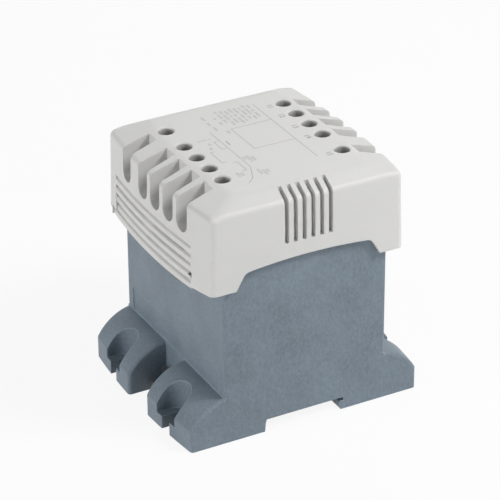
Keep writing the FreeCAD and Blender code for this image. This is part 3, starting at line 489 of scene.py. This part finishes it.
def dress_everything():
    """One finish for each CAD node."""
    # The cover gets painted shade deep in its narrow holes
    dress(["cover"],
          moulded_plastic("cover_moulding", cover_grey, mottle=0.008, specks=0.03,
                          edge_radius=0.4 * MM, edge_highlight_and_wear=0.2, grain=0.008 * MM, painted_hole_shade=0.9))
    dress(["housing_body"],
          moulded_plastic("housing_moulding", body_blue_grey, mottle=0.12, specks=0.2,
                          edge_radius=0.6 * MM, edge_highlight_and_wear=0.8, grain=0.02 * MM))
    dress(["coil_former"],
          moulded_plastic("former_moulding", former_black, mottle=0.1, specks=0.1,
                          edge_radius=0.2 * MM, edge_highlight_and_wear=0.3, grain=0.02 * MM))
    dress(["terminal_carrier_left", "terminal_carrier_right"],
          moulded_plastic("carrier_moulding", carrier_grey, mottle=0.05, specks=0.08,
                          edge_radius=0.2 * MM, edge_highlight_and_wear=0.2, grain=0.02 * MM))
    dress(["core_e_stack", "core_i_stack"], stacked_sheets("laminations"))
    dress(["primary_winding"], wound_wire("primary_wire", primary_pitch))
    dress(["secondary_winding"], wound_wire("secondary_wire", secondary_pitch))
    dress(["primary_wrap", "secondary_wrap"], wrapped_tape("winding_tape"))
    dress(["core_bolts", "core_nuts", "core_washers", "bracket_screws", "carrier_screws",
           "terminal_screws_left", "terminal_screws_right"],
          plated_metal("zinc_plate", zinc, roughness=0.32))
    dress(["core_bracket_left", "core_bracket_right"],
          plated_metal("bracket_steel", zinc, roughness=0.36, brush_axis=Y_AXIS))
    dress(["terminal_cages_left", "terminal_cages_right"],
          plated_metal("cage_steel", zinc, roughness=0.3, brush_axis=X_AXIS))
    dress(["terminal_tags_left", "terminal_tags_right", "earth_ring"],
          plated_metal("tinned_tag", tinned_brass, roughness=0.34, brush_axis=X_AXIS))
    dress(["rail_latch"],
          plated_metal("latch_steel", latch_steel, roughness=0.36, brush_axis=Y_AXIS))
    dress(["primary_leads"], lead_insulation("primary_lead_skin", lead_brown))
    dress(["secondary_leads"], lead_insulation("secondary_lead_skin", lead_blue))
    dress(["earth_lead"], lead_insulation("earth_lead_skin", earth_green, earth_yellow))


def add_stroke(mesh, start, end, width, height):
    """A flat printed line from start to end, in millimetres on the top face."""
    a = Vector((start[0] * MM, start[1] * MM, height))
    b = Vector((end[0] * MM, end[1] * MM, height))
    direction = (b - a).normalized()
    side = Vector((-direction.y, direction.x, 0.0)) * (width / 2)
    reach = direction * (width / 2)
    corners = [a - reach - side, b + reach - side, b + reach + side, a - reach + side]
    mesh.faces.new([mesh.verts.new(corner) for corner in corners])


def add_path(mesh, points, width, height):
    for start, end in zip(points, points[1:]):
        add_stroke(mesh, start, end, width, height)


def winding_symbol(back, low, high, reach):
    """Three sides of a flat box, as a winding is drawn on a diagram."""
    return [(back - reach, high), (back, high), (back, low), (back - reach, low)]


def add_number(mesh, number, place, height):
    """A plain number, read from the -X side."""
    curve = bpy.data.curves.new("digits", "FONT")
    curve.body = str(number)
    curve.size = digit_height
    curve.offset = digit_weight
    curve.align_x = "CENTER"
    curve.align_y = "CENTER"
    holder = bpy.data.objects.new("digits", curve)
    flat = bpy.data.meshes.new_from_object(holder)
    flat.transform(Matrix.Translation((place[0] * MM, place[1] * MM, height))
                   @ Matrix.Rotation(-math.pi / 2, 4, "Z"))
    mesh.from_mesh(flat)
    bpy.data.meshes.remove(flat)
    bpy.data.objects.remove(holder)
    bpy.data.curves.remove(curve)


def add_ticks(mesh, x, y, count, height):
    """Short lines along X, side by side from y towards the front."""
    for tick in range(count):
        tick_y = y - tick * tick_pitch
        share = short_tick if (tick * tick_stride + count) % tick_rhythm else 1.0
        reach = tick_reach * share
        add_stroke(mesh, (x - reach, tick_y), (x + reach, tick_y), tick_width, height)


def group_size(row, place):
    """How many ticks a row's group has, by its place in the row."""
    return shortest_group + (place * group_stride + row) % group_rhythm


def add_tick_groups(mesh, height):
    """Rows of groups of ticks, and the groups beside them."""
    for row in range(row_count):
        x = first_row_x + row * row_pitch
        y = rows_far_y - row_indent * (row % indent_rhythm)
        place = 0
        count = group_size(row, place)
        while y - count * tick_pitch > rows_near_y:
            add_ticks(mesh, x, y, count, height)
            y -= (count + 1) * tick_pitch
            place += 1
            count = group_size(row, place)
    for x, y, count in side_groups:
        add_ticks(mesh, x, y, count, height)


def add_piece(name, mesh, material):
    """Turn a mesh under construction into an object of the scene."""
    data = bpy.data.meshes.new(name)
    mesh.to_mesh(data)
    mesh.free()
    data.materials.append(material)
    piece = bpy.data.objects.new(name, data)
    bpy.context.scene.collection.objects.link(piece)
    return piece


def top_print():
    """The pad print on the cover's top: numbers, rules, winding symbols and ticks."""
    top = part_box("cover")[1].z + print_lift
    mesh = bmesh.new()
    symbols = [winding_symbol(*winding) for winding in windings]
    for path in [separator, open_frame, bent_rule, *symbols, short_rule]:
        add_path(mesh, path, line_width, top)
    add_path(mesh, bold_dash, bold_width, top)
    for number, y in enumerate(number_ys, first_number):
        add_number(mesh, number, (number_x, y), top)
    add_tick_groups(mesh, top)
    piece = add_piece("top_print", mesh, pad_ink("pad_ink"))
    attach(piece, "main")


def coil_spring():
    """The latch's compression spring in round wire."""
    mesh = bmesh.new()
    rings = []
    steps = spring_turns * spring_steps
    for step in range(steps + 1):
        turn = 2 * math.pi * step / spring_steps
        x = spring_start + (spring_end - spring_start) * step / steps
        outward = Vector((0.0, math.cos(turn), math.sin(turn)))
        middle = Vector((x, 0.0, spring_height)) + outward * spring_mean
        ring = []
        for side in range(spring_sides):
            angle = 2 * math.pi * side / spring_sides
            corner = middle + spring_wire * (outward * math.cos(angle)
                                             + Vector((math.sin(angle), 0.0, 0.0)))
            ring.append(mesh.verts.new(corner * MM))
        rings.append(ring)
    for ring, following in zip(rings, rings[1:]):
        for side in range(spring_sides):
            other = (side + 1) % spring_sides
            mesh.faces.new((ring[side], ring[other], following[other], following[side]))
    mesh.faces.new(list(reversed(rings[0])))
    mesh.faces.new(rings[-1])
    bmesh.ops.recalc_face_normals(mesh, faces=mesh.faces)
    piece = add_piece("spring_coil", mesh,
                      plated_metal("spring_steel", spring_steel, roughness=0.28))
    smooth_normals(piece, spring_smooth_angle)
    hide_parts("latch_spring")
    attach(piece, "main")
    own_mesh(piece)


def make_camera():
    """A long lens that looks back along its yaw and pitch."""
    back = Vector((math.sin(view_yaw) * math.cos(view_pitch),
                   -math.cos(view_yaw) * math.cos(view_pitch), math.sin(view_pitch)))
    right = Vector((math.cos(view_yaw), math.sin(view_yaw), 0.0))
    level_up = back.cross(right)
    rolled_right = math.cos(view_roll) * right + math.sin(view_roll) * level_up
    rolled_up = back.cross(rolled_right)
    place = rolled_right * view_side + rolled_up * view_up + back * view_distance
    data = bpy.data.cameras.new("camera")
    data.sensor_width = sensor_width
    data.lens = lens
    data.clip_end = far_clip
    camera = bpy.data.objects.new("camera", data)
    turn = Matrix((rolled_right, rolled_up, back)).transposed()
    camera.matrix_world = Matrix.Translation(place) @ turn.to_4x4()
    bpy.context.scene.collection.objects.link(camera)
    bpy.context.scene.camera = camera


def see_plainly(tree):
    """1 for rays from the camera, off gloss and through glass, else 0."""
    path = tree_node(tree, "ShaderNodeLightPath")
    seen = path.outputs["Is Camera Ray"]
    for other in ("Is Glossy Ray", "Is Transmission Ray"):
        seen = calculate(tree, "MAXIMUM", seen, path.outputs[other])
    return seen


def make_world():
    """An even sky that is white where it is seen."""
    world = bpy.data.worlds.new("studio")
    bpy.context.scene.world = world
    world.use_nodes = True
    tree = world.node_tree
    background = tree.nodes["Background"]
    background.inputs["Color"].default_value = (*sky_colour, 1.0)
    level = remap(tree, see_plainly(tree), up, (sky_level, white_level))
    tree.links.new(level, background.inputs["Strength"])


def make_floor():
    """A pale floor that is close to white where it is seen and keeps the shadow."""
    data = bpy.data.meshes.new("floor")
    corners = [(-floor_half, -floor_half, 0), (floor_half, -floor_half, 0),
               (floor_half, floor_half, 0), (-floor_half, floor_half, 0)]
    data.from_pydata(corners, [], [(0, 1, 2, 3)])
    floor = bpy.data.objects.new("floor", data)
    bpy.context.scene.collection.objects.link(floor)
    material, tree, shader, _ = start_material("floor_paper", floor_roughness)
    shader.inputs["Specular IOR Level"].default_value = 0.0
    shader.inputs["Base Color"].default_value = (*floor_colour, 1.0)
    glow = tree_node(tree, "ShaderNodeEmission", Strength=white_level)
    mixed = tree_node(tree, "ShaderNodeMixShader")
    tree.links.new(multiply(tree, see_plainly(tree), floor_glow), mixed.inputs[0])
    tree.links.new(shader.outputs[0], mixed.inputs[1])
    tree.links.new(glow.outputs[0], mixed.inputs[2])
    tree.links.new(mixed.outputs[0], tree.nodes["Material Output"].inputs["Surface"])
    data.materials.append(material)


def add_lamp(name, azimuth, elevation, distance, size, level):
    """A square soft lamp that faces the object; its level is what it gives a face square to it."""
    turn = math.radians(azimuth)
    rise = math.radians(elevation)
    place = distance * Vector((math.cos(turn) * math.cos(rise),
                               math.sin(turn) * math.cos(rise), math.sin(rise)))
    data = bpy.data.lights.new(name, "AREA")
    data.energy = level * (math.pi * distance) ** 2
    data.size = size
    lamp = bpy.data.objects.new(name, data)
    lamp.location = place
    lamp.rotation_mode = "QUATERNION"
    lamp.rotation_quaternion = (-place).to_track_quat("-Z", "Y")
    lamp.visible_glossy = elevation > lowest_gloss
    bpy.context.scene.collection.objects.link(lamp)


dress_everything()
top_print()
coil_spring()
make_camera()
make_world()
make_floor()
for lamp_name, values in lamps.items():
    add_lamp(lamp_name, *values)
bpy.context.scene.view_settings.view_transform = "Standard"
